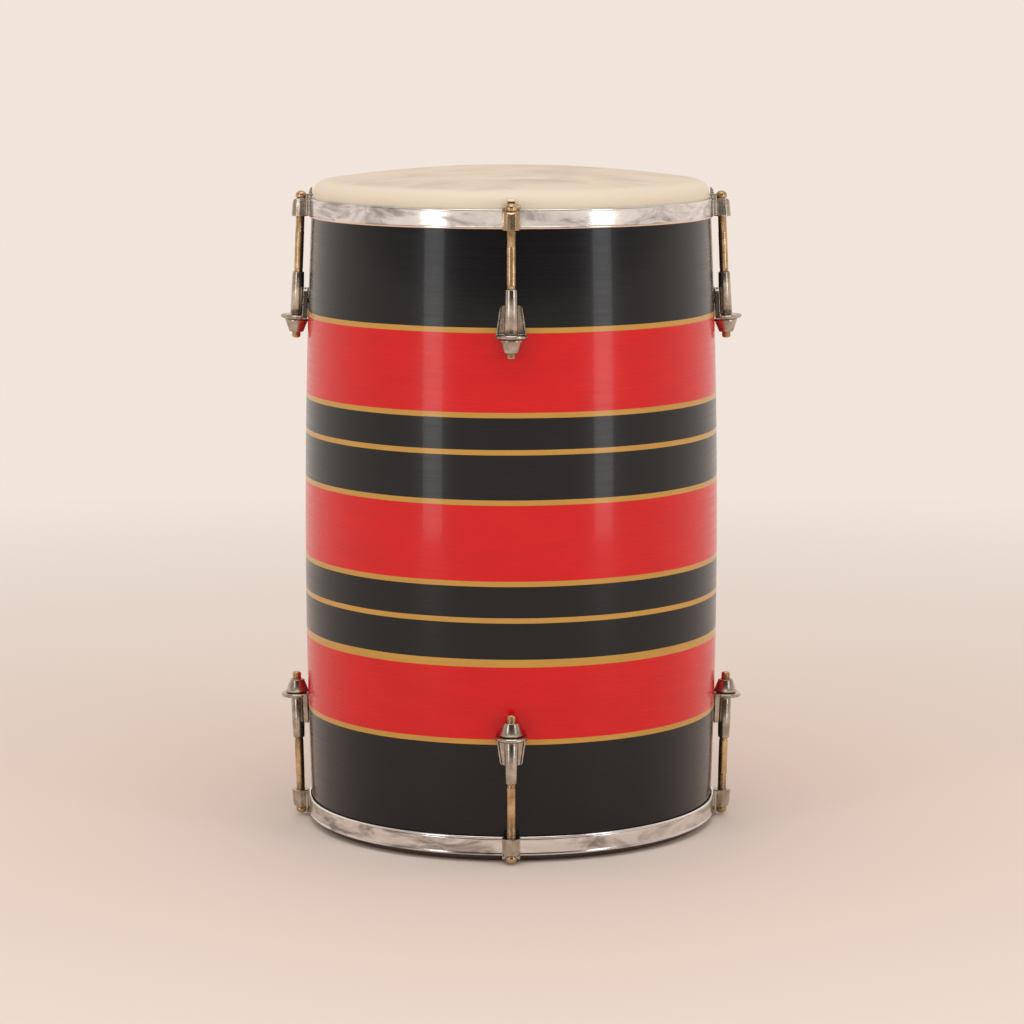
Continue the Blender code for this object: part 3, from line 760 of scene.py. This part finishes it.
# %% [markdown]
# ## Studio
#
# A pale floor and an even, soft light. Two tall soft boxes stand left and right of the camera:
# a glossy cylinder shows each as a soft upright streak about a third of the way in from its
# edge. The world is pale, and dimmer behind the camera, so that the black lacquer stays black
# head-on. Away from the drum the floor fades into a plain glow of the backdrop's own colour, so
# that no line shows where the two meet.

# %% Floor, light and camera
BACKDROP = (0.88, 0.78, 0.71)
WORLD_BEHIND_CAMERA = 0.05
WORLD_ON_MATT = 0.62
WORLD_RISE = (-0.9, 0.5)
FLOOR_REACH = 30.0
FLOOR_FADE = (0.35, 1.6)
LAMP_AIM = (0.0, 0.0, 0.22)
TALL_BOX = (0.30, 1.3)
TALL_BOX_POWER = 3.2
WIDE_BOX = (1.4, 1.4)
WIDE_BOX_POWER = 9.0
SENSOR_WIDTH = 36.0
LENS = 126.77
CAMERA_PLACE = (0.0005, -2.4305, 0.5705)
CAMERA_TILT = 81.5787


def make_floor():
    """A flat square whose surface fades with radius into a glow."""
    size = FLOOR_REACH
    mesh = bpy.data.meshes.new("floor")
    corners = [(-size, -size, 0.0), (size, -size, 0.0), (size, size, 0.0), (-size, size, 0.0)]
    mesh.from_pydata(corners, [], [(0, 1, 2, 3)])
    floor = bpy.data.objects.new("floor", mesh)
    bpy.context.scene.collection.objects.link(floor)
    finish = Finish("pale_floor")
    finish.set(Base_Color=(*BACKDROP, 1.0), Roughness=0.7, Specular_IOR_Level=0.2)
    glow = finish.nodes.new("ShaderNodeEmission")
    glow.inputs["Color"].default_value = (*BACKDROP, 1.0)
    blend = finish.nodes.new("ShaderNodeMixShader")
    finish.join(finish.span(finish.radius(), *FLOOR_FADE), blend.inputs["Fac"])
    finish.join(finish.shader.outputs["BSDF"], blend.inputs[1])
    finish.join(glow.outputs["Emission"], blend.inputs[2])
    finish.join(blend.outputs["Shader"], finish.nodes["Material Output"].inputs["Surface"])
    mesh.materials.append(finish.material)


def soft_box(name, azimuth, distance, height, size, power):
    """An area lamp at an azimuth from the camera's side, facing the middle of the drum."""
    data = bpy.data.lights.new(name, "AREA")
    data.shape = "RECTANGLE"
    data.size, data.size_y = size
    data.energy = power
    lamp = bpy.data.objects.new(name, data)
    turn = math.radians(azimuth)
    lamp.location = (distance * math.sin(turn), -distance * math.cos(turn), height)
    aim = Vector(LAMP_AIM) - lamp.location
    lamp.rotation_euler = aim.to_track_quat("-Z", "Y").to_euler()
    bpy.context.scene.collection.objects.link(lamp)


def make_world():
    """Strength rises with the direction's y from behind the camera to behind the drum.

    It is never under WORLD_ON_MATT for matt surfaces, and is 1 where the camera sees it.
    """
    world = bpy.data.worlds.new("studio")
    bpy.context.scene.world = world
    world.use_nodes = True
    nodes, links = world.node_tree.nodes, world.node_tree.links
    background = nodes["Background"]
    where = nodes.new("ShaderNodeTexCoord")
    split = nodes.new("ShaderNodeSeparateXYZ")
    ramp = nodes.new("ShaderNodeMapRange")
    path = nodes.new("ShaderNodeLightPath")
    links.new(where.outputs["Generated"], split.inputs[0])
    links.new(split.outputs[1], ramp.inputs["Value"])
    ramp.inputs["From Min"].default_value, ramp.inputs["From Max"].default_value = WORLD_RISE
    ramp.inputs["To Min"].default_value = WORLD_BEHIND_CAMERA
    ramp.inputs["To Max"].default_value = 1.0
    strength = nodes.new("ShaderNodeMath")
    strength.operation = "MAXIMUM"
    links.new(ramp.outputs["Result"], strength.inputs[0])
    matt = nodes.new("ShaderNodeMath")
    matt.operation = "MULTIPLY_ADD"
    matt.inputs[1].default_value = WORLD_ON_MATT
    links.new(path.outputs["Is Diffuse Ray"], matt.inputs[0])
    links.new(path.outputs["Is Camera Ray"], matt.inputs[2])
    links.new(matt.outputs[0], strength.inputs[1])
    background.inputs["Color"].default_value = (*BACKDROP, 1.0)
    links.new(strength.outputs[0], background.inputs["Strength"])


def make_camera():
    """A long lens, a little above the drum and tipped down to it."""
    data = bpy.data.cameras.new("camera")
    data.sensor_width = SENSOR_WIDTH
    data.lens = LENS
    camera = bpy.data.objects.new("camera", data)
    camera.location = CAMERA_PLACE
    camera.rotation_euler = (math.radians(CAMERA_TILT), 0.0, 0.0)
    bpy.context.scene.collection.objects.link(camera)
    bpy.context.scene.camera = camera


make_floor()
soft_box("left_box", -42.0, 1.5, 0.55, TALL_BOX, TALL_BOX_POWER)
soft_box("right_box", 50.0, 1.5, 0.55, TALL_BOX, TALL_BOX_POWER)
soft_box("overhead", 0.0, 0.5, 1.9, WIDE_BOX, WIDE_BOX_POWER)
make_world()
make_camera()
bpy.context.scene.view_settings.view_transform = "Standard"
